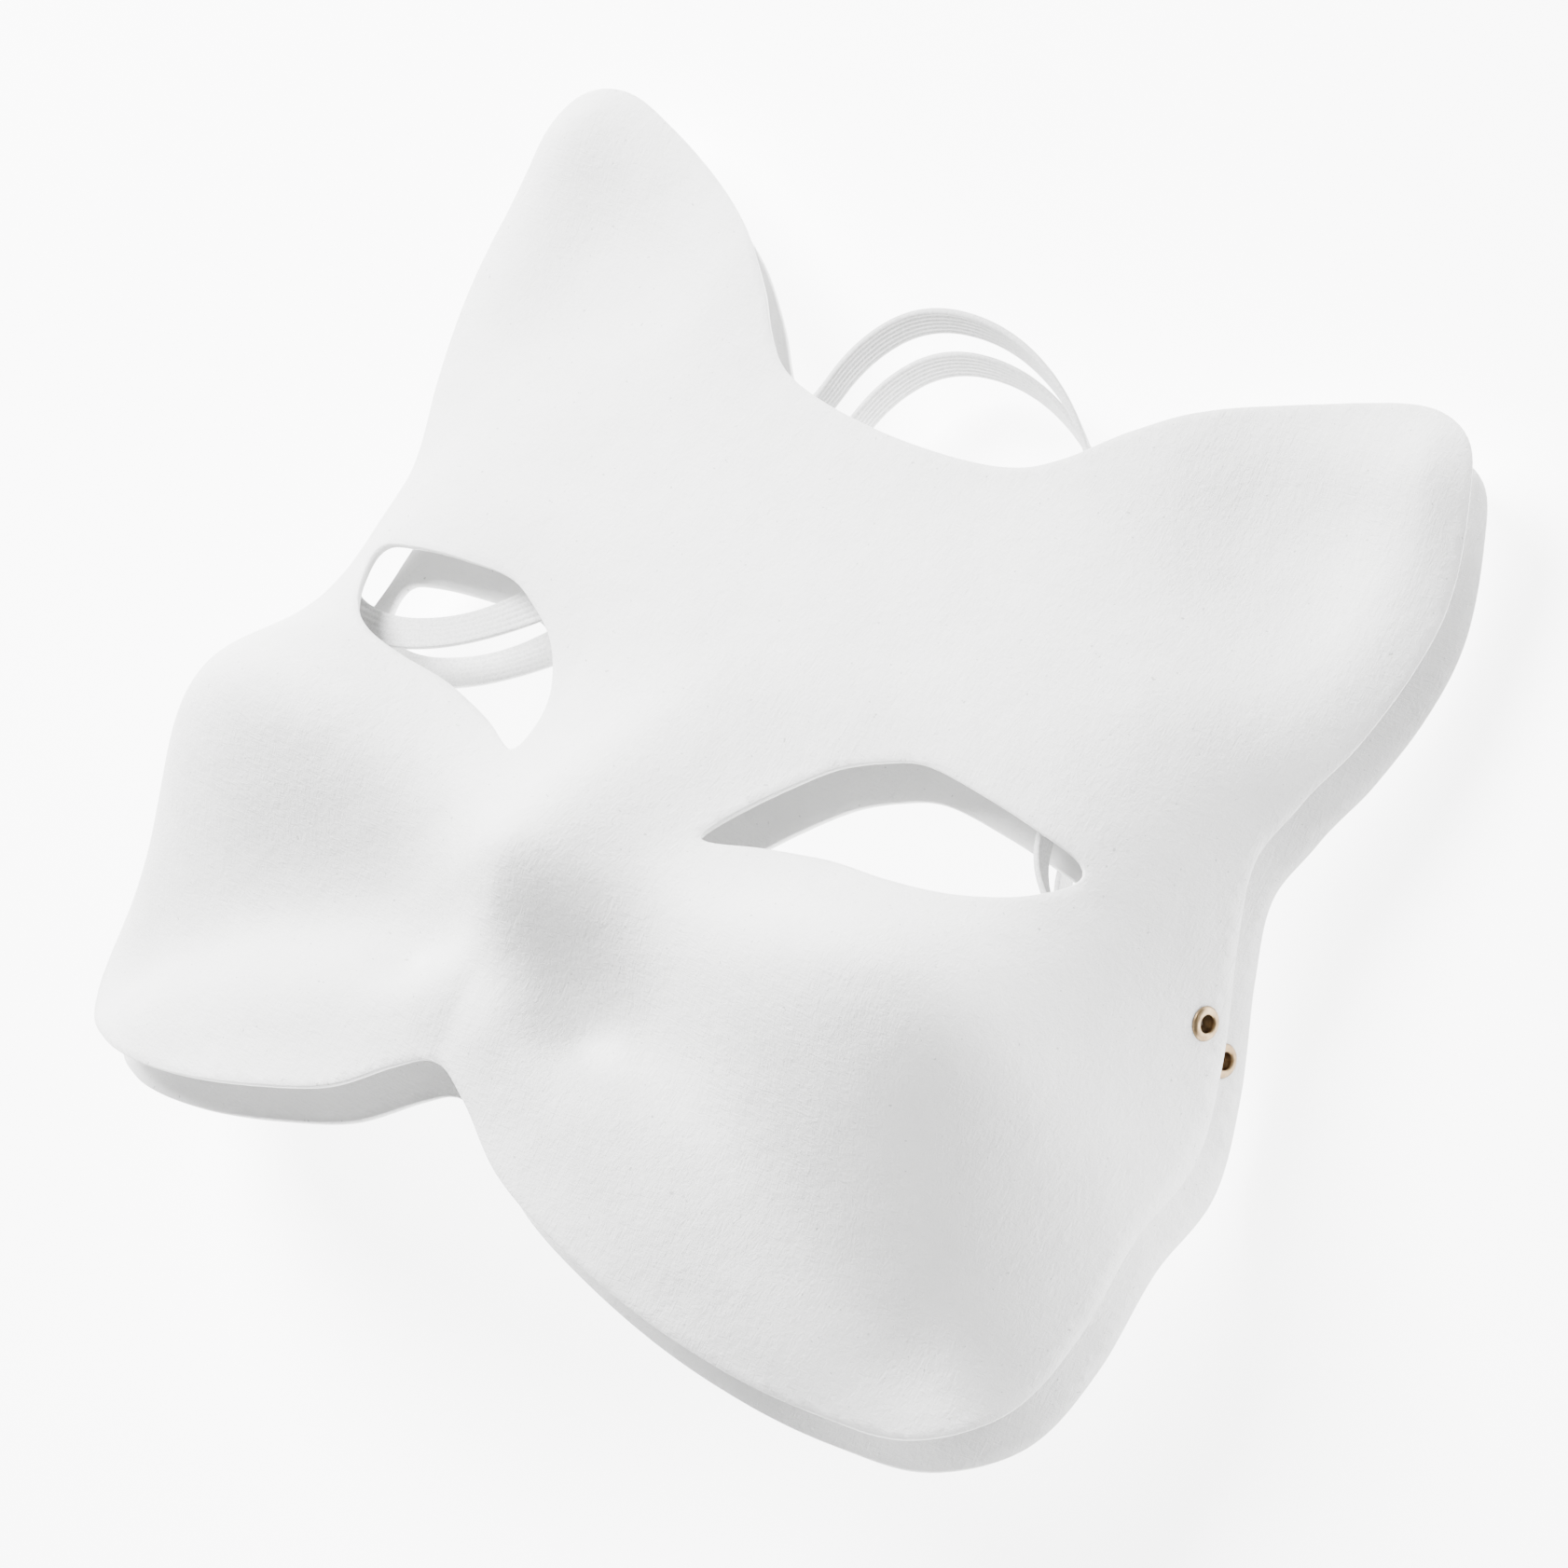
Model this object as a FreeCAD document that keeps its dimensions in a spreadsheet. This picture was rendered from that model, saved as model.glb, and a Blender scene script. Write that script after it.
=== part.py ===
import FreeCAD, Part
import math
import os

import Sketcher

# A blank moulded-paper cat half mask, stored as a nested pair.  Millimetres.
#
# Each mask is designed in its own face frame: X to the viewer's right, Y towards the ears,
# Z out of the face.  The pair then lies on a surface, resting on the ear tips and the
# temples, which tips the face frame about X by restTilt.  +Z is up in the finished part.

Vector = FreeCAD.Vector

DIMENSIONS = {
    # shell
    "shellWall": 1.3,
    "nestPitch": 12.1,
    "restTilt": 21.0,
    "gridStep": 4.0,
    # brass eyelet and its backing washer
    "eyeletX": 86.0,
    "eyeletY": 18.5,
    "flangeRadius": 2.7,
    "flangeHeight": 0.7,
    "barrelRadius": 1.75,
    "boreRadius": 1.35,
    "holeClearance": 0.1,
    "washerRadius": 3.0,
    "washerThick": 0.4,
    "rollRadius": 2.35,
    "rollHeight": 0.5,
    # flat elastic
    "bandWidth": 6.0,
    "bandThick": 1.0,
    "tabSeat": 0.5,
    "tabBack": 3.2,
    "tabFront": 6.4,
    "bandTube": 1.4,
    "endGap": 0.15,
}

# Half of the rim, from the notch under the nose round the cheek and the ear to the forehead.
RIM = [
    (0.0, -48.5), (7.0, -51.6), (17.0, -58.3), (30.0, -62.4), (45.0, -64.8), (60.0, -64.6),
    (71.0, -62.0), (81.0, -57.0), (89.0, -46.0), (92.5, -31.0), (93.0, -14.0), (91.5, 2.0),
    (88.5, 17.0), (85.0, 31.0), (83.0, 42.0), (85.2, 52.0), (88.6, 63.0), (91.0, 76.0),
    (91.2, 88.0), (88.6, 101.0), (84.5, 108.6), (77.0, 111.0), (67.0, 108.4), (55.3, 103.5),
    (44.5, 97.0), (35.3, 89.0), (28.5, 81.5), (22.5, 77.0), (13.0, 74.4), (0.0, 73.5),
]

# Right eye hole, from its inner corner along the lower lid and back along the upper lid.
EYE = [
    (18.4, -1.2), (25.8, 2.0), (31.5, 3.9), (38.0, 5.4), (46.6, 5.8), (53.5, 7.2), (59.0, 10.0),
    (64.7, 15.0), (68.7, 21.3), (67.6, 24.2), (61.0, 24.9), (50.8, 25.6), (40.3, 25.8),
    (33.7, 23.4), (27.0, 19.0), (21.3, 11.5), (18.4, 4.0),
]

# Cross-sections of the face: height y, crown height, how far the section has dropped at the
# rim as a gentle arc and as a steep side wall, and the half width it is measured over.
SECTIONS = [
    (-72.0, -8.0, 35.0, 0.0, 84.0), (-60.0, -6.5, 35.0, 1.0, 86.0), (-45.0, -5.5, 34.0, 7.0, 90.0),
    (-30.0, -4.0, 28.0, 16.0, 92.5), (-14.0, 2.0, 18.0, 32.0, 93.0), (2.0, 0.0, 12.0, 40.0, 91.5),
    (17.0, -0.5, 9.0, 34.0, 88.5), (31.0, -1.0, 8.0, 25.0, 86.0), (45.0, -2.0, 7.0, 18.0, 84.5),
    (60.0, -4.0, 5.0, 13.0, 87.5), (76.0, -6.0, 4.0, 9.0, 91.0), (90.0, -5.0, 3.0, 8.0, 91.5),
    (101.0, -3.0, 3.0, 6.0, 92.0), (112.0, -2.0, 3.0, 4.0, 94.0), (125.0, -2.0, 3.0, 4.0, 94.0),
]
SIDE_WALL_POWER = 7

# Round swellings and hollows: centre x and y, radius along and across, turn, height, sharpness.
SWELLINGS = {
    "cheek": (63.0, -14.0, 30.0, 25.0, 0.0, 19.0, 1.1),
    "nose bridge": (0.0, -14.0, 13.0, 26.0, 0.0, 11.0, 1.0),
    "nose tip": (0.0, -22.0, 12.0, 8.0, 0.0, 6.0, 1.0),
    "eye socket": (42.0, 12.0, 28.0, 14.0, 0.0, -5.0, 1.2),
    "ear hollow": (66.0, 84.0, 18.0, 24.0, 25.0, -7.0, 1.2),
}

# Long ridges and creases: start, end, half width, height at the start and at the end.
RIDGES = {
    "cheek crease": ((26.0, -31.0), (74.0, -47.0), 10.0, -4.0, -6.0),
    "whisker pad": ((8.0, -40.0), (62.0, -56.0), 9.0, 4.0, 2.0),
    "nostril": ((4.0, -27.0), (15.0, -34.0), 6.0, -2.0, -5.0),
    "brow": ((16.0, 30.0), (62.0, 35.0), 15.0, 1.0, 1.5),
    "outer ear roll": ((84.0, 60.0), (84.0, 98.0), 9.0, 1.0, 3.0),
    "inner ear roll": ((80.0, 103.0), (46.0, 92.0), 8.0, 3.0, 1.0),
}

# Route of the free elastic between its two tabs, in the face frame of its own mask.
# It crosses behind the left eye, rises behind the forehead, stands up in an arch past the
# forehead's edge, and comes back behind the right ear and the right eye's outer corner.
BAND_ROUTE = [
    (-71.0, 14.0, -17.5), (-57.0, 12.0, -12.0), (-43.0, 19.0, -10.5), (-30.5, 35.0, -9.5),
    (-21.5, 54.0, -10.5), (-16.5, 73.0, -11.5), (-14.0, 86.0, -8.0), (-6.5, 95.0, -6.0),
    (7.0, 97.0, -6.0), (20.0, 93.0, -8.5), (31.0, 84.0, -12.0), (41.0, 69.0, -13.5),
    (50.0, 51.0, -12.5), (56.5, 34.0, -12.0), (60.5, 20.0, -12.5), (71.0, 14.5, -17.5),
]


def hermite_sections(y):
    """The four section values at height y, on a smooth curve through SECTIONS."""
    rows = SECTIONS
    y = min(max(y, rows[0][0]), rows[-1][0])
    k = 0
    while k < len(rows) - 2 and y > rows[k + 1][0]:
        k += 1
    span = rows[k + 1][0] - rows[k][0]
    t = (y - rows[k][0]) / span
    before = rows[max(k - 1, 0)]
    after = rows[min(k + 2, len(rows) - 1)]
    values = []
    for column in range(1, 5):
        low, high = rows[k][column], rows[k + 1][column]
        slope_low = (high - before[column]) / (rows[k + 1][0] - before[0]) * span
        slope_high = (after[column] - low) / (after[0] - rows[k][0]) * span
        values.append(
            low * (1 + 2 * t) * (1 - t) ** 2 + slope_low * t * (1 - t) ** 2
            + high * t * t * (3 - 2 * t) - slope_high * t * t * (1 - t)
        )
    return values


def swelling(x, y, cx, cy, along, across, turn, height, sharpness):
    angle = math.radians(turn)
    dx, dy = x - cx, y - cy
    p = (dx * math.cos(angle) + dy * math.sin(angle)) / along
    q = (dy * math.cos(angle) - dx * math.sin(angle)) / across
    return height * math.exp(-(p * p + q * q) ** sharpness)


def ridge(x, y, start, end, width, height_start, height_end):
    run = (end[0] - start[0], end[1] - start[1])
    t = ((x - start[0]) * run[0] + (y - start[1]) * run[1]) / (run[0] ** 2 + run[1] ** 2)
    t = min(max(t, 0.0), 1.0)
    distance = math.hypot(x - start[0] - t * run[0], y - start[1] - t * run[1])
    return (height_start + (height_end - height_start) * t) * math.exp(-(distance / width) ** 2)


def face_height(x, y):
    """Height of the mask's outer surface over the face frame's XY plane."""
    x = abs(x)
    crown, arc_drop, wall_drop, half_width = hermite_sections(y)
    z = crown - arc_drop * (x / half_width) ** 2 - wall_drop * (x / half_width) ** SIDE_WALL_POWER
    z += sum(swelling(x, y, *numbers) for numbers in SWELLINGS.values())
    z += sum(ridge(x, y, *numbers) for numbers in RIDGES.values())
    return z


def face_normal(x, y):
    step = 0.05
    slope_x = (face_height(x + step, y) - face_height(x - step, y)) / (2 * step)
    slope_y = (face_height(x, y + step) - face_height(x, y - step)) / (2 * step)
    return Vector(-slope_x, -slope_y, 1).normalize()


# ---------------------------------------------------------------- document and sheet

doc = FreeCAD.newDocument("CatMaskPair")
sheet = doc.addObject("Spreadsheet::Sheet", "Sizes")
for row, (alias, value) in enumerate(DIMENSIONS.items(), start=1):
    sheet.set("A%d" % row, alias)
    sheet.set("B%d" % row, str(value))
    sheet.setAlias("B%d" % row, alias)
doc.recompute()


def size(alias):
    return float(getattr(sheet, alias))


# ---------------------------------------------------------------- shell

GRID_X = 98.0
GRID_Y = (-72.0, 118.0)


def curved_skin(depth):
    """A smooth surface over the grid, depth below the outer surface along its normal."""
    step = size("gridStep")
    count_x = int(round(2 * GRID_X / step)) + 1
    count_y = int(round((GRID_Y[1] - GRID_Y[0]) / step)) + 1
    grid = []
    for i in range(count_x):
        x = -GRID_X + 2 * GRID_X * i / (count_x - 1)
        column = []
        for j in range(count_y):
            y = GRID_Y[0] + (GRID_Y[1] - GRID_Y[0]) * j / (count_y - 1)
            column.append(Vector(x, y, face_height(x, y) - depth / face_normal(x, y).z))
        grid.append(column)
    surface = Part.BSplineSurface()
    surface.interpolate(grid)
    return surface


def skin_edge(surface, name):
    u0, u1, v0, v1 = surface.bounds()
    curve = {
        "left": surface.uIso(u0), "right": surface.uIso(u1),
        "chin": surface.vIso(v0), "crown": surface.vIso(v1),
    }[name]
    return curve.toShape()


def pulp_blank():
    """The sheet of pulp before its rim and holes are trimmed."""
    outer = curved_skin(0.0)
    inner = curved_skin(size("shellWall"))
    faces = [outer.toShape(), inner.toShape()]
    for name in ("left", "right", "chin", "crown"):
        faces.append(Part.makeRuledSurface(skin_edge(outer, name), skin_edge(inner, name)))
    solid = Part.Solid(Part.Shell(faces))
    if solid.Volume < 0:
        solid.reverse()
    return solid


def closed_outline(points):
    """A smooth closed wire through the points, with an edge from each point to the next."""
    curve = Part.BSplineCurve()
    curve.interpolate([Vector(x, y, 0) for x, y in points], PeriodicFlag=True)
    stops = [curve.parameter(Vector(x, y, 0)) for x, y in points] + [curve.LastParameter]
    return Part.Wire([curve.toShape(first, last) for first, last in zip(stops, stops[1:])])


TRIM_FLOOR = -100.0
TRIM_HEIGHT = 160.0


def trim_prism(name, points):
    """An upright prism over an outline, used to trim the blank."""
    outline = doc.addObject("Part::Feature", name + "_outline")
    outline.Shape = Part.Face(closed_outline(points))
    outline.Placement.Base = Vector(0, 0, TRIM_FLOOR)
    prism = doc.addObject("Part::Extrusion", name + "_prism")
    prism.Base = outline
    prism.Dir = Vector(0, 0, 1)
    prism.LengthFwd = TRIM_HEIGHT
    prism.Solid = True
    return prism


def mirrored(points):
    return [(-x, y) for x, y in points]


def eyelet_frame(side):
    """Placement on the outer surface: Z out of the wall, X down the wall towards the band's run."""
    x, y = side * size("eyeletX"), size("eyeletY")
    normal = face_normal(x, y)
    inward = Vector(-side, 0, 0)
    along = (inward - normal * inward.dot(normal)).normalize()
    across = normal.cross(along)
    rotation = FreeCAD.Rotation(along, across, normal, "ZXY")
    return FreeCAD.Placement(Vector(x, y, face_height(x, y)), rotation)


SIDES = {"left": -1, "right": 1}


def build_shell():
    blank = doc.addObject("Part::Feature", "pulp_blank")
    blank.Shape = pulp_blank()
    rim = trim_prism("rim", RIM + mirrored(RIM[-2:0:-1]))
    trimmed = doc.addObject("Part::Common", "trimmed_blank")
    trimmed.Base = blank
    trimmed.Tool = rim
    cutters = [trim_prism("right_eye", EYE), trim_prism("left_eye", mirrored(EYE))]
    for name, side in SIDES.items():
        hole = doc.addObject("Part::Cylinder", name + "_eyelet_hole")
        hole.setExpression("Radius", "Sizes.barrelRadius + Sizes.holeClearance")
        hole.setExpression("Height", "6 * Sizes.shellWall")
        seat = FreeCAD.Placement(Vector(0, 0, -3 * size("shellWall")), FreeCAD.Rotation())
        hole.Placement = eyelet_frame(side).multiply(seat)
        cutters.append(hole)
    holes = doc.addObject("Part::MultiFuse", "shell_holes")
    holes.Shapes = cutters
    shell = doc.addObject("Part::Cut", "shell_shape")
    shell.Base = trimmed
    shell.Tool = holes
    doc.recompute()
    return shell


# ---------------------------------------------------------------- sketches

def expression_text(text):
    for alias in sorted(DIMENSIONS, key=len, reverse=True):
        text = text.replace("{" + alias + "}", "Sizes." + alias)
    return text


def evaluate(text):
    """Value of a sum of sheet sizes such as '-{shellWall} - 2 * {washerThick}'."""
    total = 0.0
    for term in text.replace("-", "+ -").split("+"):
        term = term.strip()
        if not term:
            continue
        product = -1.0 if term.startswith("-") else 1.0
        for factor in term.lstrip("-").split("*"):
            factor = factor.strip()
            product *= size(factor[1:-1]) if factor.startswith("{") else float(factor)
        total += product
    return total


def attached_sketch(body, name, plane):
    sketch = body.newObject("Sketcher::SketchObject", name)
    origin = [feature for feature in body.Origin.OriginFeatures if feature.Role == plane][0]
    sketch.AttachmentSupport = [(origin, "")]
    sketch.MapMode = "FlatFace"
    return sketch


def bind_point(sketch, geometry, texts, values, number):
    """Place the start of an edge by named constraints bound to the sheet."""
    y_axis, x_axis = -2, -1
    rows = (("DistanceX", "x", texts[0], values[0], y_axis), ("DistanceY", "y", texts[1], values[1], x_axis))
    for kind, letter, text, value, axis in rows:
        if value == 0.0:
            sketch.addConstraint(Sketcher.Constraint("PointOnObject", geometry, 1, axis))
            continue
        index = sketch.addConstraint(Sketcher.Constraint(kind, geometry, 1, value))
        constraint = "%s%d" % (letter, number)
        sketch.renameConstraint(index, constraint)
        sketch.setExpression("Constraints." + constraint, expression_text(text))


def outline_sketch(body, name, plane, corners):
    """A closed polygon whose corners are pairs of sheet expressions."""
    sketch = attached_sketch(body, name, plane)
    places = [(evaluate(x), evaluate(y)) for x, y in corners]
    count = len(places)
    for i in range(count):
        start, end = places[i], places[(i + 1) % count]
        sketch.addGeometry(Part.LineSegment(Vector(*start, 0), Vector(*end, 0)), False)
    for i in range(count):
        sketch.addConstraint(Sketcher.Constraint("Coincident", i, 2, (i + 1) % count, 1))
    for i in range(count):
        bind_point(sketch, i, corners[i], places[i], i)
    return sketch


def revolved_body(name, corners):
    """A turned piece: the corners are (radius, height) pairs, turned about Z."""
    body = doc.addObject("PartDesign::Body", name)
    sketch = outline_sketch(body, name + "_profile", "XZ_Plane", corners)
    turned = body.newObject("PartDesign::Revolution", name + "_turned")
    turned.Profile = sketch
    turned.ReferenceAxis = (sketch, ["V_Axis"])
    turned.Angle = 360
    return body


# ---------------------------------------------------------------- hardware

TAB_FACE = "-{shellWall} - {tabSeat}"
TAB_BACK_FACE = TAB_FACE + " - {bandThick}"
WASHER_BACK_FACE = TAB_BACK_FACE + " - {washerThick}"


def build_eyelet(name):
    """Brass eyelet: domed flange outside, barrel through wall and elastic, rolled inside."""
    return revolved_body(name, [
        ("{boreRadius}", "{flangeHeight}"),
        ("0.8 * {flangeRadius}", "{flangeHeight}"),
        ("{flangeRadius}", "0.4 * {flangeHeight}"),
        ("{flangeRadius}", "0.07 * {flangeHeight}"),
        ("{barrelRadius}", "0.07 * {flangeHeight}"),
        ("{barrelRadius}", WASHER_BACK_FACE),
        ("{rollRadius}", WASHER_BACK_FACE),
        ("{rollRadius}", WASHER_BACK_FACE + " - 0.5 * {rollHeight}"),
        ("0.85 * {rollRadius}", WASHER_BACK_FACE + " - {rollHeight}"),
        ("{boreRadius}", WASHER_BACK_FACE + " - {rollHeight}"),
    ])


def build_washer(name):
    inner = "{barrelRadius} + {holeClearance}"
    return revolved_body(name, [
        (inner, TAB_BACK_FACE), ("{washerRadius}", TAB_BACK_FACE),
        ("{washerRadius}", WASHER_BACK_FACE), (inner, WASHER_BACK_FACE),
    ])


def build_tab(name):
    """The flat heat-set end of the elastic, clamped under the washer."""
    body = doc.addObject("PartDesign::Body", name)
    half = "0.5 * {bandWidth}"
    plate = outline_sketch(body, name + "_plate", "XY_Plane", [
        ("-{tabBack}", "-" + half), ("{tabFront}", "-" + half),
        ("{tabFront}", half), ("-{tabBack}", half),
    ])
    pad = body.newObject("PartDesign::Pad", name + "_pad")
    pad.Profile = plate
    pad.setExpression("Length", "Sizes.bandThick")
    circle = attached_sketch(body, name + "_circle", "XY_Plane")
    radius = size("barrelRadius") + size("holeClearance")
    circle.addGeometry(Part.Circle(Vector(0, 0, 0), Vector(0, 0, 1), radius), False)
    circle.addConstraint(Sketcher.Constraint("Coincident", 0, 3, -1, 1))
    index = circle.addConstraint(Sketcher.Constraint("Radius", 0, radius))
    circle.renameConstraint(index, "holeRadius")
    circle.setExpression("Constraints.holeRadius", "Sizes.barrelRadius + Sizes.holeClearance")
    hole = body.newObject("PartDesign::Pocket", name + "_hole")
    hole.Profile = circle
    hole.Type = "ThroughAll"
    hole.Midplane = True
    return body


def band_end(side):
    """Middle of the ball where the free elastic begins, just past its tab."""
    reach = size("tabFront") + size("bandTube") + size("endGap")
    depth = -(size("shellWall") + size("tabSeat") + size("bandTube"))
    return eyelet_frame(side).multVec(Vector(reach, 0, depth))


def tangent_path(points):
    """Straight runs joined by tangent arcs, each as large as its two runs allow."""
    edges, radii = [], []
    cursor = points[0]
    for before, corner, after in zip(points, points[1:], points[2:]):
        back, ahead = before - corner, after - corner
        setback = 0.45 * min(back.Length, ahead.Length)
        turn = math.pi - back.getAngle(ahead)
        radii.append(setback / math.tan(turn / 2))
        start = corner + back.normalize() * setback
        end = corner + ahead.normalize() * setback
        bisector = (back + ahead).normalize()
        middle = corner + bisector * (radii[-1] / math.cos(turn / 2) - radii[-1])
        edges.append(Part.LineSegment(cursor, start).toShape())
        edges.append(Part.Arc(start, middle, end).toShape())
        cursor = end
    edges.append(Part.LineSegment(cursor, points[-1]).toShape())
    return Part.Wire(edges), radii


def build_band():
    points = [band_end(-1)] + [Vector(*place) for place in BAND_ROUTE] + [band_end(1)]
    path, radii = tangent_path(points)
    radius = size("bandTube")
    section = Part.Wire(Part.Circle(points[0], points[1] - points[0], radius).toShape())
    tube = path.makePipeShell([section], True, False)
    expected = math.pi * radius ** 2 * path.Length
    print("band: length %.1f, smallest arc radius %.1f" % (path.Length, min(radii)))
    print("band: arc radii", [round(value, 1) for value in radii])
    print("band: tube volume %.1f, section times length %.1f" % (tube.Volume, expected))
    balls = [Part.makeSphere(radius, end) for end in (points[0], points[-1])]
    return tube.fuse(balls).removeSplitter()


# ---------------------------------------------------------------- the nested pair

shell_shape = build_shell()
band_shape = build_band()
CORDS = []
PIECES = {}


def feature_with(name, shape, placement):
    feature = doc.addObject("Part::Feature", name)
    feature.Shape = shape
    feature.Placement = placement
    return feature


def build_mask(mask, nest):
    """One mask of the pair, nest millimetres along its own Z."""
    lift = FreeCAD.Placement(Vector(0, 0, nest), FreeCAD.Rotation())
    PIECES[mask + "_shell"] = (feature_with(mask + "_shell", shell_shape.Shape.copy(), lift), lift)
    PIECES[mask + "_band"] = (feature_with(mask + "_band", band_shape.copy(), lift), lift)
    CORDS.append(mask + "_band")
    for side_name, side in SIDES.items():
        seat = lift.multiply(eyelet_frame(side))
        tab_depth = size("shellWall") + size("tabSeat") + size("bandThick")
        tab_seat = seat.multiply(FreeCAD.Placement(Vector(0, 0, -tab_depth), FreeCAD.Rotation()))
        ends = (
            ("eyelet", build_eyelet, seat), ("washer", build_washer, seat), ("tab", build_tab, tab_seat),
        )
        for kind, build, placement in ends:
            name = "%s_%s_%s" % (mask, side_name, kind)
            PIECES[name] = (build(name), placement)


build_mask("rear", 0.0)
build_mask("front", size("nestPitch"))
doc.recompute()

# The pair lies on its ear tips and temples, centred over the origin.
rest = FreeCAD.Placement(Vector(), FreeCAD.Rotation(Vector(1, 0, 0), -size("restTilt")))
corners = []
for name, (piece, placement) in PIECES.items():
    piece.Label = name
    piece.Placement = rest.multiply(placement)
doc.recompute()
for name, (piece, placement) in PIECES.items():
    if name not in CORDS:
        corners += piece.Shape.tessellate(0.05)[0]
low = [min(point[axis] for point in corners) for axis in range(3)]
high = [max(point[axis] for point in corners) for axis in range(3)]
centre = Vector(-(low[0] + high[0]) / 2, -(low[1] + high[1]) / 2, -low[2])
for name, (piece, placement) in PIECES.items():
    piece.Placement = FreeCAD.Placement(centre, FreeCAD.Rotation()).multiply(piece.Placement)
doc.recompute()

for item in doc.Objects:
    if "Invalid" in item.State or "Error" in item.State:
        raise RuntimeError("%s failed to build: %s" % (item.Name, item.State))
print("box: %s to %s" % ([round(v, 2) for v in low], [round(v, 2) for v in high]), "shift", centre)
os.makedirs("parts", exist_ok=True)
for name, (piece, placement) in PIECES.items():
    shape = piece.Shape
    if shape.isNull() or not shape.isValid() or len(shape.Solids) != 1:
        raise RuntimeError("%s is not one valid solid" % name)
    shape.exportStep("parts/%s.step" % name)
    box = shape.BoundBox
    print("%-20s volume %8.1f  %6.1f x %6.1f x %6.1f" % (
        name, shape.Volume, box.XLength, box.YLength, box.ZLength))
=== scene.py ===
import math
import random

import bpy
import numpy as np
from mathutils import Matrix, Vector
from mathutils.geometry import delaunay_2d_cdt


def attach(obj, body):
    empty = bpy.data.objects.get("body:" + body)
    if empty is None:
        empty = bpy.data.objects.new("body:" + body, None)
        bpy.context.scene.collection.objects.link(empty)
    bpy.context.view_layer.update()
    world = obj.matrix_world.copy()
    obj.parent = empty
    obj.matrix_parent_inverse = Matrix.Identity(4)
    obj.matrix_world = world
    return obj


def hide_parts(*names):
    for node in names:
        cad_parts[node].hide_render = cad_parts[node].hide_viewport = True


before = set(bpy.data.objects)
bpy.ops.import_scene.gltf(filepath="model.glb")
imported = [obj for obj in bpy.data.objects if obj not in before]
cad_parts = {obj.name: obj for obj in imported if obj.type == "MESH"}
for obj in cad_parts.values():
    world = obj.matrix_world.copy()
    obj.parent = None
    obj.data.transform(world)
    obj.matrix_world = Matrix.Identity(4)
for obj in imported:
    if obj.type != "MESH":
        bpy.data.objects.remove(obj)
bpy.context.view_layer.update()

# Two blank moulded-paper cat half masks, one nested in the other, each with a flat elastic held
# by two brass eyelets.  Numbers below are millimetres in a mask's own face frame: X to the
# viewer's right, Y towards the ears, Z out of the face.

MM = 0.001
REST_TILT = 21.0
NEST = {"rear": 0.0, "front": 12.1}
CENTRE = Vector((0.0, -18.384, 50.51))
FACE_TURN = Matrix.Rotation(math.radians(-REST_TILT), 4, "X")

WALL = 1.3
EYELET_X, EYELET_Y = 86.0, 18.5
TAB_SEAT = 0.5
BAND_WIDTH, BAND_THICK = 6.0, 1.0


def face_to_world(mask):
    """Matrix from a mask's face frame in millimetres to the scene in metres."""
    place = Matrix.Translation(CENTRE) @ FACE_TURN @ Matrix.Translation((0, 0, NEST[mask]))
    return Matrix.Scale(MM, 4) @ place


# ---------------------------------------------------------------- camera

CAMERA_PLACE = (0.43749, 0.01898, 0.789)
CAMERA_TURN = (11.6615, 27.3036, 27.1667)
CAMERA_LENS = 130.43

camera_data = bpy.data.cameras.new("camera")
camera_data.lens = CAMERA_LENS
camera_data.sensor_width = 36.0
camera = bpy.data.objects.new("camera", camera_data)
camera.location = CAMERA_PLACE
camera.rotation_euler = [math.radians(a) for a in CAMERA_TURN]
bpy.context.scene.collection.objects.link(camera)
bpy.context.scene.camera = camera


# ---------------------------------------------------------------- face shape

RIM = [
    (0.0, -48.5), (7.0, -51.6), (17.0, -58.3), (30.0, -62.4), (45.0, -64.8), (60.0, -64.6),
    (71.0, -62.0), (81.0, -57.0), (89.0, -46.0), (92.5, -31.0), (93.0, -14.0), (91.5, 2.0),
    (88.5, 17.0), (85.0, 31.0), (83.0, 42.0), (85.2, 52.0), (88.6, 63.0), (91.0, 76.0),
    (91.2, 88.0), (88.6, 101.0), (84.5, 108.6), (77.0, 111.0), (67.0, 108.4), (55.3, 103.5),
    (44.5, 97.0), (35.3, 89.0), (28.5, 81.5), (22.5, 77.0), (13.0, 74.4), (0.0, 73.5),
]
EYE = [
    (18.4, -1.2), (25.8, 2.0), (31.5, 3.9), (38.0, 5.4), (46.6, 5.8), (53.5, 7.2), (59.0, 10.0),
    (64.7, 15.0), (68.7, 21.3), (67.6, 24.2), (61.0, 24.9), (50.8, 25.6), (40.3, 25.8),
    (33.7, 23.4), (27.0, 19.0), (21.3, 11.5), (18.4, 4.0),
]

# Height y, crown height, gentle arc drop, side wall drop, half width.
SECTIONS = np.array([
    (-72.0, -8.0, 35.0, 0.0, 84.0), (-60.0, -6.5, 35.0, 1.0, 86.0), (-45.0, -5.5, 34.0, 7.0, 90.0),
    (-30.0, -4.0, 28.0, 16.0, 92.5), (-14.0, 2.0, 18.0, 32.0, 93.0), (2.0, 0.0, 12.0, 40.0, 91.5),
    (17.0, -0.5, 9.0, 34.0, 88.5), (31.0, -1.0, 8.0, 25.0, 86.0), (45.0, -2.0, 7.0, 18.0, 84.5),
    (60.0, -4.0, 5.0, 13.0, 87.5), (76.0, -6.0, 4.0, 9.0, 91.0), (90.0, -5.0, 3.0, 8.0, 91.5),
    (101.0, -3.0, 3.0, 6.0, 92.0), (112.0, -2.0, 3.0, 4.0, 94.0), (125.0, -2.0, 3.0, 4.0, 94.0),
])
SIDE_WALL_POWER = 7
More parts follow.
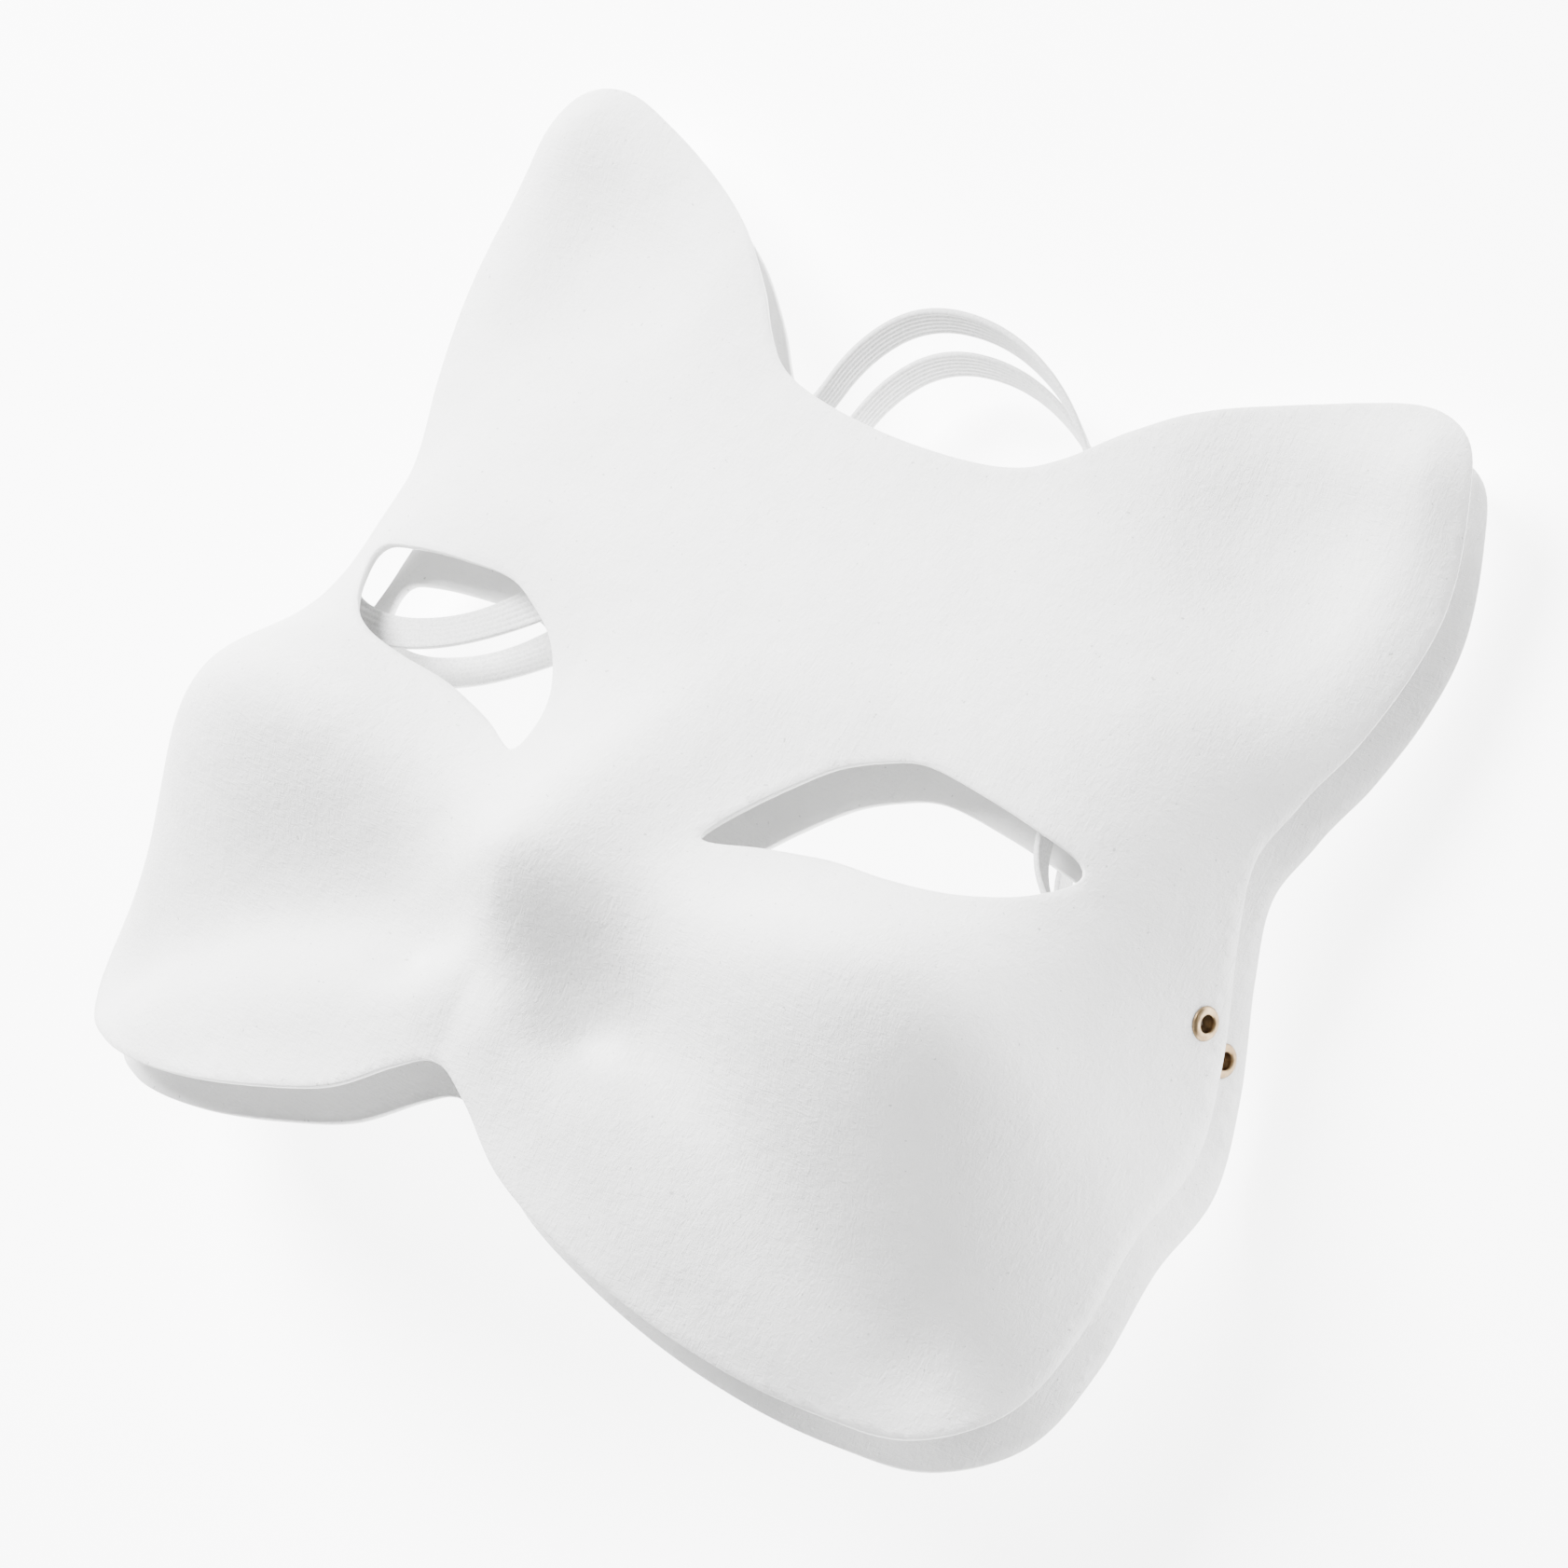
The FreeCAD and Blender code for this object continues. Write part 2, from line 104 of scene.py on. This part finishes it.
SWELLINGS = {
    "cheek": (63.0, -14.0, 30.0, 25.0, 0.0, 19.0, 1.1),
    "nose bridge": (0.0, -14.0, 13.0, 26.0, 0.0, 11.0, 1.0),
    "nose tip": (0.0, -22.0, 12.0, 8.0, 0.0, 6.0, 1.0),
    "eye socket": (42.0, 12.0, 28.0, 14.0, 0.0, -5.0, 1.2),
    "ear hollow": (66.0, 84.0, 18.0, 24.0, 25.0, -7.0, 1.2),
}
RIDGES = {
    "cheek crease": ((26.0, -31.0), (74.0, -47.0), 10.0, -4.0, -6.0),
    "whisker pad": ((8.0, -40.0), (62.0, -56.0), 9.0, 4.0, 2.0),
    "nostril": ((4.0, -27.0), (15.0, -34.0), 6.0, -2.0, -5.0),
    "brow": ((16.0, 30.0), (62.0, 35.0), 15.0, 1.0, 1.5),
    "outer ear roll": ((84.0, 60.0), (84.0, 98.0), 9.0, 1.0, 3.0),
    "inner ear roll": ((80.0, 103.0), (46.0, 92.0), 8.0, 3.0, 1.0),
}


def hermite_sections(y):
    """The four section values at the heights y, on a smooth curve through SECTIONS."""
    rows = SECTIONS[:, 0]
    y = np.clip(y, rows[0], rows[-1])
    k = np.clip(np.searchsorted(rows, y, side="left") - 1, 0, len(rows) - 2)
    before, after = np.maximum(k - 1, 0), np.minimum(k + 2, len(rows) - 1)
    span = rows[k + 1] - rows[k]
    t = (y - rows[k]) / span
    values = []
    for column in SECTIONS.T[1:]:
        low, high = column[k], column[k + 1]
        slope_low = (high - column[before]) / (rows[k + 1] - rows[before]) * span
        slope_high = (column[after] - low) / (rows[after] - rows[k]) * span
        values.append(
            low * (1 + 2 * t) * (1 - t) ** 2 + slope_low * t * (1 - t) ** 2
            + high * t * t * (3 - 2 * t) - slope_high * t * t * (1 - t)
        )
    return values


def swelling(x, y, cx, cy, along, across, turn, height, sharpness):
    angle = math.radians(turn)
    dx, dy = x - cx, y - cy
    p = (dx * math.cos(angle) + dy * math.sin(angle)) / along
    q = (dy * math.cos(angle) - dx * math.sin(angle)) / across
    return height * np.exp(-(p * p + q * q) ** sharpness)


def ridge(x, y, start, end, width, height_start, height_end):
    run = (end[0] - start[0], end[1] - start[1])
    t = ((x - start[0]) * run[0] + (y - start[1]) * run[1]) / (run[0] ** 2 + run[1] ** 2)
    t = np.clip(t, 0.0, 1.0)
    distance = np.hypot(x - start[0] - t * run[0], y - start[1] - t * run[1])
    return (height_start + (height_end - height_start) * t) * np.exp(-(distance / width) ** 2)


def face_height(x, y):
    """Height of the mask's outer surface over the face frame's XY plane."""
    x = np.abs(x)
    crown, arc_drop, wall_drop, half_width = hermite_sections(y)
    z = crown - arc_drop * (x / half_width) ** 2 - wall_drop * (x / half_width) ** SIDE_WALL_POWER
    for numbers in SWELLINGS.values():
        z = z + swelling(x, y, *numbers)
    for numbers in RIDGES.values():
        z = z + ridge(x, y, *numbers)
    return z


def face_normals(x, y):
    step = 0.05
    slope_x = (face_height(x + step, y) - face_height(x - step, y)) / (2 * step)
    slope_y = (face_height(x, y + step) - face_height(x, y - step)) / (2 * step)
    normals = np.stack([-slope_x, -slope_y, np.ones_like(slope_x)], axis=-1)
    return normals / np.linalg.norm(normals, axis=-1, keepdims=True)


def new_object(name, vertices, faces, materials, smooth=True):
    """A mesh piece from points and faces."""
    mesh = bpy.data.meshes.new(name)
    mesh.from_pydata([tuple(v) for v in vertices], [], [tuple(f) for f in faces])
    mesh.update()
    for polygon in mesh.polygons:
        polygon.use_smooth = smooth
    for material in materials:
        mesh.materials.append(material)
    piece = bpy.data.objects.new(name, mesh)
    bpy.context.scene.collection.objects.link(piece)
    return piece


# ---------------------------------------------------------------- materials

def node_material(name):
    material = bpy.data.materials.new(name)
    material.use_nodes = True
    nodes, links = material.node_tree.nodes, material.node_tree.links
    return material, nodes, links, nodes["Principled BSDF"]


def texture_place(nodes, links, stretch):
    """Object coordinates in metres, scaled so that a texture's unit is 1 / stretch metres."""
    coordinates = nodes.new("ShaderNodeTexCoord")
    mapping = nodes.new("ShaderNodeMapping")
    mapping.inputs["Scale"].default_value = stretch
    links.new(coordinates.outputs["Object"], mapping.inputs["Vector"])
    return mapping.outputs["Vector"]


def noise(nodes, links, stretch, detail, roughness=0.5, distortion=0.0):
    texture = nodes.new("ShaderNodeTexNoise")
    texture.inputs["Scale"].default_value = 1.0
    texture.inputs["Detail"].default_value = detail
    texture.inputs["Roughness"].default_value = roughness
    texture.inputs["Distortion"].default_value = distortion
    links.new(texture_place(nodes, links, stretch), texture.inputs["Vector"])
    return texture.outputs["Fac"]


def ramp(nodes, links, source, stops):
    """A colour ramp over a value; stops are (position, colour)."""
    node = nodes.new("ShaderNodeValToRGB")
    elements = node.color_ramp.elements
    while len(elements) < len(stops):
        elements.new(0.5)
    for element, (position, colour) in zip(elements, stops):
        element.position = position
        element.color = (*colour, 1.0) if isinstance(colour, tuple) else (colour, colour, colour, 1.0)
    links.new(source, node.inputs["Fac"])
    return node.outputs["Color"]


def mixed(nodes, links, factor, first, second, blend="MIX"):
    """Mix of two colours, each a socket or a plain colour."""
    node = nodes.new("ShaderNodeMix")
    node.data_type = "RGBA"
    node.blend_type = blend
    for socket, value in ((node.inputs[0], factor), (node.inputs[6], first), (node.inputs[7], second)):
        if isinstance(value, bpy.types.NodeSocket):
            links.new(value, socket)
        elif isinstance(value, tuple):
            socket.default_value = (*value, 1.0)
        else:
            socket.default_value = value
    return node.outputs[2]


def maths(nodes, links, operation, first, second):
    node = nodes.new("ShaderNodeMath")
    node.operation = operation
    for socket, value in zip(node.inputs, (first, second)):
        if isinstance(value, bpy.types.NodeSocket):
            links.new(value, socket)
        else:
            socket.default_value = value
    return node.outputs[0]


def bumped(nodes, links, shader, layers):
    """Chained bumps; layers are (height socket, height in metres, strength)."""
    normal = None
    for height, distance, strength in layers:
        bump = nodes.new("ShaderNodeBump")
        bump.inputs["Distance"].default_value = distance
        bump.inputs["Strength"].default_value = strength
        links.new(height, bump.inputs["Height"])
        if normal is not None:
            links.new(normal, bump.inputs["Normal"])
        normal = bump.outputs["Normal"]
    links.new(normal, shader.inputs["Normal"])


def pulp_material(name, shade):
    """Bleached moulded paper: matt, finely fibrous, with a few specks."""
    material, nodes, links, shader = node_material(name)
    mottle = noise(nodes, links, (60, 60, 60), 4, 0.55)
    grain = noise(nodes, links, (900, 900, 900), 5, 0.65)
    fibre_long = noise(nodes, links, (1800, 260, 700), 3, 0.6, 1.6)
    fibre_cross = noise(nodes, links, (300, 1700, 800), 3, 0.6, 1.4)
    lump = noise(nodes, links, (170, 170, 170), 3, 0.5)
    dark = tuple(0.935 * c for c in shade)
    base = ramp(nodes, links, mottle, [(0.3, dark), (0.7, shade)])
    speck_field = noise(nodes, links, (1250, 1250, 1250), 1, 0.4)
    speck = ramp(nodes, links, speck_field, [(0.755, 0.0), (0.79, 1.0)])
    base = mixed(nodes, links, speck, base, tuple(0.62 * c for c in shade))
    hair = ramp(nodes, links, fibre_long, [(0.30, 1.0), (0.345, 0.0)])
    base = mixed(nodes, links, maths(nodes, links, "MULTIPLY", hair, 0.35), base,
                 tuple(0.86 * c for c in shade))
    links.new(base, shader.inputs["Base Color"])
    rough = ramp(nodes, links, grain, [(0.3, 0.82), (0.7, 0.96)])
    links.new(rough, shader.inputs["Roughness"])
    shader.inputs["Specular IOR Level"].default_value = 0.28
    bumped(nodes, links, shader, [
        (lump, 0.0007, 0.5), (fibre_cross, 0.00025, 0.5), (fibre_long, 0.00025, 0.5), (grain, 0.0003, 0.55),
    ])
    return material


def elastic_material():
    """White braided elastic: matt yarn with a fine crosswise weave on modelled ribs."""
    material, nodes, links, shader = node_material("white_elastic")
    weave = noise(nodes, links, (2600, 2600, 2600), 2, 0.5)
    soil = noise(nodes, links, (90, 90, 90), 3, 0.5)
    base = ramp(nodes, links, weave, [(0.35, (0.52, 0.52, 0.52)), (0.65, (0.68, 0.68, 0.675))])
    base = mixed(nodes, links, 0.12, base, ramp(nodes, links, soil, [(0.3, 0.62), (0.7, 0.9)]))
    links.new(base, shader.inputs["Base Color"])
    links.new(ramp(nodes, links, weave, [(0.3, 0.7), (0.7, 0.9)]), shader.inputs["Roughness"])
    shader.inputs["Specular IOR Level"].default_value = 0.3
    shader.inputs["Sheen Weight"].default_value = 0.15
    bumped(nodes, links, shader, [(weave, 0.00012, 0.7)])
    return material


def brass_material():
    """Stamped brass with fine scratches and slight tarnish."""
    material, nodes, links, shader = node_material("brass")
    tarnish = noise(nodes, links, (420, 420, 420), 4, 0.6)
    scratch = noise(nodes, links, (400, 5200, 2600), 2, 0.5, 0.4)
    base = ramp(nodes, links, tarnish, [(0.25, (0.16, 0.10, 0.05)), (0.7, (0.42, 0.31, 0.18))])
    links.new(base, shader.inputs["Base Color"])
    shader.inputs["Metallic"].default_value = 1.0
    links.new(ramp(nodes, links, tarnish, [(0.3, 0.42), (0.7, 0.24)]), shader.inputs["Roughness"])
    bumped(nodes, links, shader, [(scratch, 0.00004, 0.4), (tarnish, 0.00008, 0.3)])
    return material


pulp = pulp_material("moulded_pulp", (0.86, 0.86, 0.855))
pulp_edge = pulp_material("cut_pulp_edge", (0.88, 0.88, 0.875))
elastic = elastic_material()
brass = brass_material()


# ---------------------------------------------------------------- elastic

BAND_ROUTE = [
    (-71.0, 14.0, -17.5), (-57.0, 12.0, -12.0), (-43.0, 19.0, -10.5), (-30.5, 35.0, -9.5),
    (-21.5, 54.0, -10.5), (-16.5, 73.0, -11.5), (-14.0, 86.0, -8.0), (-6.5, 95.0, -6.0),
    (7.0, 97.0, -6.0), (20.0, 93.0, -8.5), (31.0, 84.0, -12.0), (41.0, 69.0, -13.5),
    (50.0, 51.0, -12.5), (56.5, 34.0, -12.0), (60.5, 20.0, -12.5), (71.0, 14.5, -17.5),
]
TAB_REACH = 7.95
BAND_DEPTH = 3.2
RIBS = 6
RIB_STEPS = 6
RIB_GROOVE = 0.72       # thickness in a groove as a share of the full thickness
TAB_BACK = 3.2          # the tab reaches this far behind its eyelet's axis
TAB_LENGTH = 9.9
TAB_STEPS = 22
# Where the free elastic starts and how far it takes to turn on edge, from its left and right ends.
LEFT_TURN = (38.0, 52.0)
RIGHT_TURN = (4.0, 22.0)


def eyelet_frame(side):
    """Origin, and the directions along the band, across it and out of the wall, at one eyelet."""
    x, y = side * EYELET_X, EYELET_Y
    normal = Vector(face_normals(np.array([x]), np.array([y]))[0])
    inward = Vector((-side, 0, 0))
    along = (inward - normal * inward.dot(normal)).normalized()
    origin = Vector((x, y, float(face_height(np.array([x]), np.array([y]))[0])))
    return origin, along, normal.cross(along), normal


def band_end(side):
    origin, along, across, normal = eyelet_frame(side)
    return origin + along * TAB_REACH - normal * BAND_DEPTH


def spline_points(route):
    """Points along the smooth line that a free elastic takes through its route."""
    curve = bpy.data.curves.new("route", "CURVE")
    curve.dimensions = "3D"
    spline = curve.splines.new("NURBS")
    spline.points.add(len(route) - 1)
    for point, place in zip(spline.points, route):
        point.co = (*place, 1.0)
    spline.order_u = 3
    spline.use_endpoint_u = True
    curve.resolution_u = 14
    carrier = bpy.data.objects.new("route", curve)
    line = bpy.data.meshes.new_from_object(carrier)
    points = [vertex.co.copy() for vertex in line.vertices]
    bpy.data.objects.remove(carrier)
    bpy.data.curves.remove(curve)
    bpy.data.meshes.remove(line)
    return points


def rib_section():
    """Cross-section of the flat elastic: half-round ribs side by side on both faces."""
    section = []
    rib = BAND_WIDTH / RIBS
    for face in (1, -1):
        for number in range(RIBS):
            for step in range(RIB_STEPS):
                t = step / RIB_STEPS
                across = face * (-BAND_WIDTH / 2 + rib * (number + t))
                bulge = RIB_GROOVE + (1 - RIB_GROOVE) * math.sin(math.pi * t)
                section.append((across, face * BAND_THICK / 2 * bulge))
    return section


def ribbon(points, width_directions):
    """A flat ribbed elastic along points; width_directions say which way its width lies."""
    section = rib_section()
    count = len(section)
    vertices, faces = [], []
    for i, (point, width) in enumerate(zip(points, width_directions)):
        ahead = points[min(i + 1, len(points) - 1)] - points[max(i - 1, 0)]
        ahead.normalize()
        across = (width - ahead * width.dot(ahead)).normalized()
        thick = ahead.cross(across)
        for a, b in section:
            vertices.append(point + across * a + thick * b)
    for i in range(len(points) - 1):
        for j in range(count):
            k = (j + 1) % count
            faces.append((i * count + j, i * count + k, (i + 1) * count + k, (i + 1) * count + j))
    faces.append(tuple(range(count)))
    faces.append(tuple((len(points) - 1) * count + j for j in reversed(range(count))))
    return vertices, faces


def smooth_step(t):
    t = min(max(t, 0.0), 1.0)
    return t * t * (3 - 2 * t)


def band_widths(points):
    """Width directions along a free elastic, twisting from its tabs to stand on edge in the arch."""
    lengths = [0.0]
    for a, b in zip(points, points[1:]):
        lengths.append(lengths[-1] + (b - a).length)
    total = lengths[-1]
    across_left, across_right = eyelet_frame(-1)[2], eyelet_frame(1)[2]
    upright = Vector((0, 0, 1))
    if across_right.dot(upright) < 0:
        across_right = -across_right
    directions = []
    for s in lengths:
        if s < total / 2:
            turned_by = smooth_step((s - LEFT_TURN[0]) / LEFT_TURN[1])
            direction = across_left.lerp(upright, turned_by)
        else:
            turned_by = smooth_step((total - s - RIGHT_TURN[0]) / RIGHT_TURN[1])
            direction = across_right.lerp(upright, turned_by)
        directions.append(direction.normalized())
    return directions


def make_band(mask):
    """The free elastic of one mask."""
    world = face_to_world(mask)
    route = [band_end(-1)] + [Vector(place) for place in BAND_ROUTE] + [band_end(1)]
    line = spline_points(route)
    vertices, faces = ribbon(line, band_widths(line))
    band = new_object(mask + "_elastic_band", [world @ v for v in vertices], faces, [elastic])
    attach(band, mask + "_elastic")
    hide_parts(mask + "_band")
    return band


def make_tab(mask, side_name, side):
    """The heat-set end of the elastic under the washer."""
    world = face_to_world(mask)
    origin, along, across, normal = eyelet_frame(side)
    middle = -(WALL + TAB_SEAT + BAND_THICK / 2)
    stops = [TAB_LENGTH * i / TAB_STEPS - TAB_BACK for i in range(TAB_STEPS + 1)]
    line = [origin + along * s + normal * middle for s in stops]
    name = "%s_%s_elastic_end" % (mask, side_name)
    vertices, faces = ribbon(line, [across] * len(line))
    tab = new_object(name, [world @ v for v in vertices], faces, [elastic])
    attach(tab, mask + "_mask")
    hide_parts("%s_%s_tab" % (mask, side_name))
    return tab


SIDES = {"left": -1, "right": 1}
MASKS = ("rear", "front")
for mask in MASKS:
    make_band(mask)
    for side_name, side in SIDES.items():
        make_tab(mask, side_name, side)


# ---------------------------------------------------------------- shells

SHELL_STEP = 1.25
EYE_STEP = 0.9
EYELET_HOLE_RADIUS = 1.85
EYELET_HOLE_SIDES = 20
GRID_X = (-96, 96)
GRID_Y = (-70, 114)
GRID_CLEAR = 0.55       # share of a step kept free between the grid and the outlines
# Rounding of the cut edge: how deep in the wall, and how far it swells out there.
CUT_EDGE = ((0.12, 0.16), (0.5, 0.22), (0.88, 0.16))
RIM_SHAKE = {"rear": 11, "front": 29}


def smooth_outline(points, step):
    """A closed line through the points at even steps."""
    count = len(points)
    dense = []
    for i in range(count):
        p0, p1, p2, p3 = (np.array(points[(i + k) % count]) for k in (-1, 0, 1, 2))
        for t in np.linspace(0, 1, 24, endpoint=False):
            dense.append(0.5 * (2 * p1 + (p2 - p0) * t + (2 * p0 - 5 * p1 + 4 * p2 - p3) * t * t
                                + (3 * p1 - p0 - 3 * p2 + p3) * t ** 3))
    dense = np.array(dense)
    legs = np.linalg.norm(np.roll(dense, -1, axis=0) - dense, axis=1)
    stations = np.concatenate([[0], np.cumsum(legs)])
    number = int(round(stations[-1] / step))
    wanted = np.linspace(0, stations[-1], number, endpoint=False)
    closed = np.vstack([dense, dense[:1]])
    return np.stack([np.interp(wanted, stations, closed[:, k]) for k in (0, 1)], axis=1)


def inside(points, outline):
    """Which points lie inside a closed outline."""
    x, y = points[:, 0][:, None], points[:, 1][:, None]
    x1, y1 = outline[:, 0][None], outline[:, 1][None]
    x2, y2 = np.roll(outline[:, 0], -1)[None], np.roll(outline[:, 1], -1)[None]
    crossing = (y1 > y) != (y2 > y)
    at = (x2 - x1) * (y - y1) / np.where(y2 == y1, 1e-9, y2 - y1) + x1
    return (crossing & (x < at)).sum(axis=1) % 2 == 1


def outline_distance(points, outline):
    nearest = np.full(len(points), 1e9)
    for start in range(0, len(points), 2000):
        part = points[start:start + 2000]
        gaps = np.linalg.norm(part[:, None] - outline[None], axis=2)
        nearest[start:start + 2000] = gaps.min(axis=1)
    return nearest


def waves(x, y, seed, lengths, height):
    """Gentle unevenness of pressed pulp: a few seeded waves of each length."""
    chance = random.Random(seed)
    z = np.zeros_like(x)
    for length in lengths:
        for _ in range(5):
            angle, phase = chance.uniform(0, math.pi), chance.uniform(0, 2 * math.pi)
            k = 2 * math.pi / (length * chance.uniform(0.8, 1.25))
            along = x * math.cos(angle) + y * math.sin(angle)
            z += math.sqrt(length / lengths[0]) * np.sin(k * along + phase)
    return height * z / (5 * len(lengths)) ** 0.5


def make_shell(mask):
    seed = RIM_SHAKE[mask]
    rim = smooth_outline(RIM + [(-x, y) for x, y in RIM[-2:0:-1]], SHELL_STEP)
    eyes = [smooth_outline([(side * x, y) for x, y in EYE], EYE_STEP) for side in (1, -1)]
    holes = []
    for side in (-1, 1):
        angles = np.linspace(0, 2 * math.pi, EYELET_HOLE_SIDES, endpoint=False)
        origin, along, across, normal = eyelet_frame(side)
        ring = [origin + along * (EYELET_HOLE_RADIUS * math.cos(a))
                + across * (EYELET_HOLE_RADIUS * math.sin(a)) for a in angles]
        holes.append(np.array([(p.x, p.y) for p in ring]))
    loops = [rim] + eyes + holes
    edge_points = np.vstack(loops)
    grid_x = np.arange(*GRID_X, SHELL_STEP)
    grid_y = np.arange(*GRID_Y, SHELL_STEP * 0.866)
    grid = np.array([(x + (0.5 * SHELL_STEP if j % 2 else 0), y)
                     for j, y in enumerate(grid_y) for x in grid_x])
    keep = inside(grid, rim)
    for loop in loops[1:]:
        keep &= ~inside(grid, loop)
    grid = grid[keep]
    grid = grid[outline_distance(grid, edge_points) > GRID_CLEAR * SHELL_STEP]
    flat = np.vstack([edge_points, grid])
    edges, start = [], 0
    for loop in loops:
        edges += [(start + i, start + (i + 1) % len(loop)) for i in range(len(loop))]
        start += len(loop)
    result = delaunay_2d_cdt([Vector(p) for p in flat], edges, [], 0, 1e-6)
    points = np.array([tuple(p) for p in result[0]])
    triangles = np.array([tuple(f) for f in result[2]])
    middles = points[triangles].mean(axis=1)
    keep = inside(middles, rim)
    for loop in loops[1:]:
        keep &= ~inside(middles, loop)
    triangles = triangles[keep]
    a, b, c = (points[triangles[:, k]] for k in range(3))
    area = (b[:, 0] - a[:, 0]) * (c[:, 1] - a[:, 1]) - (b[:, 1] - a[:, 1]) * (c[:, 0] - a[:, 0])
    triangles[area < 0] = triangles[area < 0][:, ::-1]

    x, y = points[:, 0], points[:, 1]
    normals = face_normals(x, y)
    outer = np.stack([x, y, face_height(x, y) + waves(x, y, seed, (34.0, 17.0, 8.0), 0.10)], axis=1)
    inner = outer - normals * (WALL + waves(x, y, seed + 1, (21.0, 9.0), 0.06))[:, None]
    count = len(points)
    vertices = [outer, inner]
    faces = [tuple(t) for t in triangles] + [tuple(int(i) + count for i in t[::-1]) for t in triangles]
    material_of = [0] * len(faces)

    # The cut edge between the skins, slightly rounded.
    directed = {}   # the triangles' edges, kept in order
    for t in triangles:
        for i, j in ((t[0], t[1]), (t[1], t[2]), (t[2], t[0])):
            directed[(int(i), int(j))] = True
    border = [(i, j) for i, j in directed if (j, i) not in directed]
    following = dict(border)
    used = set()
    base = 2 * count
    for first in list(following):
        if first in used:
            continue
        loop = [first]
        used.add(first)
        while following[loop[-1]] != first:
            loop.append(following[loop[-1]])
            used.add(loop[-1])
        ring = outer[loop]
        ahead = np.roll(ring, -1, axis=0) - np.roll(ring, 1, axis=0)
        ahead /= np.linalg.norm(ahead, axis=1, keepdims=True)
        outward = np.cross(ahead, normals[loop])
        outward /= np.linalg.norm(outward, axis=1, keepdims=True)
        rows = [list(loop)]
        for depth, swell in CUT_EDGE:
            rows.append(list(range(base, base + len(loop))))
            vertices.append(ring + (inner[loop] - ring) * depth + outward * swell)
            base += len(loop)
        rows.append([i + count for i in loop])
        for upper, lower in zip(rows, rows[1:]):
            for k in range(len(loop)):
                n = (k + 1) % len(loop)
                faces.append((upper[k], lower[k], lower[n], upper[n]))
                material_of.append(1)
    everything = np.vstack(vertices)
    world = np.array(face_to_world(mask))
    everything = everything @ world[:3, :3].T + world[:3, 3]
    shell = new_object(mask + "_pulp_shell", everything, faces, [pulp, pulp_edge])
    shell.data.polygons.foreach_set("material_index", material_of)
    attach(shell, mask + "_mask")
    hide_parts(mask + "_shell")
    return shell


for mask in MASKS:
    make_shell(mask)


# ---------------------------------------------------------------- brass

TURN_STEPS = 40
EYELET_PROFILE = [
    (1.35, 0.35), (1.42, 0.55), (1.62, 0.68), (1.95, 0.70), (2.3, 0.62), (2.55, 0.42), (2.68, 0.18),
    (2.68, 0.05), (2.5, 0.03), (1.75, 0.03), (1.75, -3.15), (2.2, -3.2), (2.35, -3.35), (2.25, -3.58),
    (1.95, -3.7), (1.6, -3.66), (1.4, -3.5), (1.35, -3.2),
]
WASHER_PROFILE = [
    (1.85, -2.8), (2.8, -2.8), (2.97, -2.86), (3.0, -3.0), (2.97, -3.14), (2.8, -3.2), (1.85, -3.2),
]


def turned(name, profile, mask, side, material):
    """A turned brass piece about an eyelet's axis; profile is a closed loop of radius and height."""
    world = face_to_world(mask)
    origin, along, across, normal = eyelet_frame(side)
    vertices, faces = [], []
    for i in range(TURN_STEPS):
        angle = 2 * math.pi * i / TURN_STEPS
        outward = along * math.cos(angle) + across * math.sin(angle)
        for radius, height in profile:
            vertices.append(world @ (origin + outward * radius + normal * height))
    count = len(profile)
    for i in range(TURN_STEPS):
        n = (i + 1) % TURN_STEPS
        for j in range(count):
            k = (j + 1) % count
            faces.append((i * count + j, i * count + k, n * count + k, n * count + j))
    return new_object(name, vertices, faces, [material])


for mask in MASKS:
    for side_name, side in SIDES.items():
        for kind, profile in (("eyelet", EYELET_PROFILE), ("washer", WASHER_PROFILE)):
            node = "%s_%s_%s" % (mask, side_name, kind)
            piece = turned(node + "_brass", profile, mask, side, brass)
            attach(piece, mask + "_mask")
            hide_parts(node)


# ---------------------------------------------------------------- studio

# An overexposed white sweep: the floor gives light of its own, so that no shadow shows on it.
FLOOR_GLOW = 5.0
WORLD_STRENGTH = 0.6


def floor_material():
    material, nodes, links, shader = node_material("studio_floor")
    tone = noise(nodes, links, (3, 3, 3), 2)
    links.new(ramp(nodes, links, tone, [(0.3, 0.90), (0.7, 0.92)]), shader.inputs["Base Color"])
    shader.inputs["Roughness"].default_value = 0.9
    shader.inputs["Emission Color"].default_value = (1.0, 1.0, 1.0, 1.0)
    shader.inputs["Emission Strength"].default_value = FLOOR_GLOW
    return material


floor = new_object("studio_floor_plane", [(-6, -6, 0), (6, -6, 0), (6, 6, 0), (-6, 6, 0)],
                   [(0, 1, 2, 3)], [floor_material()])

world_light = bpy.data.worlds.new("studio_world")
world_light.use_nodes = True
background = world_light.node_tree.nodes["Background"]
background.inputs["Color"].default_value = (1.0, 1.0, 1.0, 1.0)
background.inputs["Strength"].default_value = WORLD_STRENGTH
bpy.context.scene.world = world_light

# Directions are in the camera's view: right, up and towards the camera.
LIGHTS = [
    ("key_light", (-0.9, 1.0, 0.6), 1.1, 0.6, 72.0),
    ("fill_light", (0.9, 0.3, 1.0), 1.4, 1.2, 3.0),
]
TARGET = Vector((0.0, 0.0, 0.045))
view_turn = camera.rotation_euler.to_matrix()
for name, direction, distance, breadth, power in LIGHTS:
    data = bpy.data.lights.new(name, "AREA")
    data.shape = "DISK"
    data.size = breadth
    data.energy = power
    light = bpy.data.objects.new(name, data)
    aim = view_turn @ Vector(direction).normalized()
    light.location = TARGET + aim * distance
    light.rotation_euler = aim.to_track_quat("Z", "Y").to_euler()
    bpy.context.scene.collection.objects.link(light)
